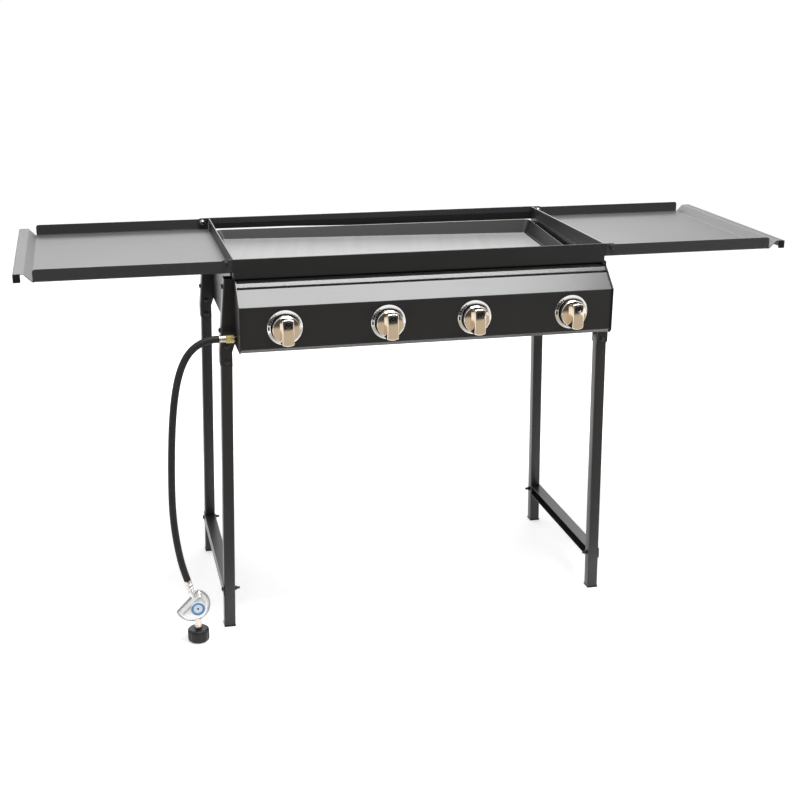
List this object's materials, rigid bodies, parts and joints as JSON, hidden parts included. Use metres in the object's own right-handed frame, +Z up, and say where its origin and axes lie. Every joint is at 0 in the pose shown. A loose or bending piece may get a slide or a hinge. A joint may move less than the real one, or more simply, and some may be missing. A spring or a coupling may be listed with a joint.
{
  "type": "flat-top gas griddle with folding legs",
  "caption": "Free-standing flat-top gas griddle: shallow steel pan in a black frame, sloped knob panel, fold-over side shelves, folding legs, and a hose with a regulator.",
  "frame": {"origin": "on the floor, under the middle of the griddle with its shelves out, hose and regulator left out", "axes": "+X to the user's right along the panel, +Y from the knobs to the back, +Z up"},
  "size_m": [1.712, 0.5936, 0.863],
  "materials": {
    "black_coat": "satin powder coat",
    "galvanised": "dull galvanised",
    "valve_brass": "machined",
    "ceramic": "glazed ceramic",
    "pan_steel": "rolled, bright",
    "chrome": "polished",
    "zinc": "zinc plated",
    "black_bolts": "black oxide",
    "black_plastic": "moulded",
    "hose_rubber": "smooth",
    "die_cast": "die cast, painted silver",
    "dial_plastic": "blue ring round a pale face"
  },
  "bodies": {
    "housing": {"frame_front_wall": "black_coat", "frame_back_wall": "black_coat", "frame_left_wall": "black_coat", "frame_right_wall": "black_coat", "left_side_plate": "black_coat", "right_side_plate": "black_coat", "control_panel": "black_coat", "front_rail": "black_coat", "rear_panel": "black_coat", "left_leg_brackets": "black_coat", "right_leg_brackets": "black_coat", "left_pan_rail": "black_coat", "right_pan_rail": "black_coat", "heat_shield": "galvanised", "front_burner_bearer": "galvanised", "rear_burner_bearer": "galvanised", "burner_tubes": "galvanised", "gas_manifold": "galvanised", "gas_valves": "valve_brass", "gas_inlet": "valve_brass", "igniters": "ceramic", "knob_bezels": "chrome", "bracket_bolts": "black_bolts", "leg_pivot_bolts": "black_bolts", "leg_stop_bolts": "black_bolts", "shelf_bolts": "black_bolts", "frame_bolts": "black_bolts", "inlet_ferrule": "zinc", "regulator_ferrule": "zinc", "gas_hose": "hose_rubber", "regulator_body": "die_cast", "regulator_cover": "die_cast", "regulator_dial": "dial_plastic"},
    "left_legs": {"left_front_leg": "black_coat", "left_rear_leg": "black_coat", "left_brace": "black_coat", "left_foot_plugs": "black_plastic", "left_brace_bolts": "black_bolts"},
    "left_shelf": {"left_shelf_tray": "black_coat"},
    "right_legs": {"right_front_leg": "black_coat", "right_rear_leg": "black_coat", "right_brace": "black_coat", "right_foot_plugs": "black_plastic", "right_brace_bolts": "black_bolts"},
    "right_shelf": {"right_shelf_tray": "black_coat"},
    "griddle": {"griddle_pan": "pan_steel"},
    "cylinder_coupling": {"coupling_nut": "black_plastic"},
    "spring_cap_1": {"spring_cap_1": "zinc"},
    "knob_1": {"knob_1": "chrome", "valve_stem_1": "zinc"},
    "spring_cap_2": {"spring_cap_2": "zinc"},
    "knob_2": {"knob_2": "chrome", "valve_stem_2": "zinc"},
    "spring_cap_3": {"spring_cap_3": "zinc"},
    "knob_3": {"knob_3": "chrome", "valve_stem_3": "zinc"},
    "spring_cap_4": {"spring_cap_4": "zinc"},
    "knob_4": {"knob_4": "chrome", "valve_stem_4": "zinc"}
  },
  "joints": [
    {"name": "left_leg_fold", "type": "hinge", "parent": "housing", "child": "left_legs", "pos_m": [-0.4305, 0.05425, 0.6345], "axis": [0, -1, 0], "range_deg": [0, 90]},
    {"name": "right_leg_fold", "type": "hinge", "parent": "housing", "child": "right_legs", "pos_m": [0.4305, 0.05425, 0.6345], "axis": [0, 1, 0], "range_deg": [0, 78]},
    {"name": "left_shelf_fold", "type": "hinge", "parent": "housing", "child": "left_shelf", "pos_m": [-0.429, 0.04625, 0.855], "axis": [0, 1, 0], "range_deg": [0, 179]},
    {"name": "right_shelf_fold", "type": "hinge", "parent": "housing", "child": "right_shelf", "pos_m": [0.429, 0.04625, 0.855], "axis": [0, -1, 0], "range_deg": [0, 179]},
    {"name": "griddle_lift", "type": "slide", "parent": "housing", "child": "griddle", "axis": [0, 0, -1], "range_m": [-0.12, 0]},
    {"name": "knob_1_push", "type": "slide", "parent": "housing", "child": "spring_cap_1", "axis": [0, 1, 0], "range_m": [0, 0.0035], "stiffness_N_per_m": 1500, "springref_m": -0.003},
    {"name": "knob_1_turn", "type": "hinge", "parent": "spring_cap_1", "child": "knob_1", "pos_m": [-0.317, -0.25875, 0.727], "axis": [0, -1, 0], "range_deg": [0, 200]},
    {"name": "knob_2_push", "type": "slide", "parent": "housing", "child": "spring_cap_2", "axis": [0, 1, 0], "range_m": [0, 0.0035], "stiffness_N_per_m": 1500, "springref_m": -0.003},
    {"name": "knob_2_turn", "type": "hinge", "parent": "spring_cap_2", "child": "knob_2", "pos_m": [-0.0955, -0.25875, 0.727], "axis": [0, -1, 0], "range_deg": [0, 200]},
    {"name": "knob_3_push", "type": "slide", "parent": "housing", "child": "spring_cap_3", "axis": [0, 1, 0], "range_m": [0, 0.0035], "stiffness_N_per_m": 1500, "springref_m": -0.003},
    {"name": "knob_3_turn", "type": "hinge", "parent": "spring_cap_3", "child": "knob_3", "pos_m": [0.0955, -0.25875, 0.727], "axis": [0, -1, 0], "range_deg": [0, 200]},
    {"name": "knob_4_push", "type": "slide", "parent": "housing", "child": "spring_cap_4", "axis": [0, 1, 0], "range_m": [0, 0.0035], "stiffness_N_per_m": 1500, "springref_m": -0.003},
    {"name": "knob_4_turn", "type": "hinge", "parent": "spring_cap_4", "child": "knob_4", "pos_m": [0.317, -0.25875, 0.727], "axis": [0, -1, 0], "range_deg": [0, 200]},
    {"name": "coupling_spin", "type": "hinge", "parent": "housing", "child": "cylinder_coupling", "pos_m": [-0.52058, -0.21475, 0.015], "axis": [0, 0, 1], "continuous": true}
  ]
}
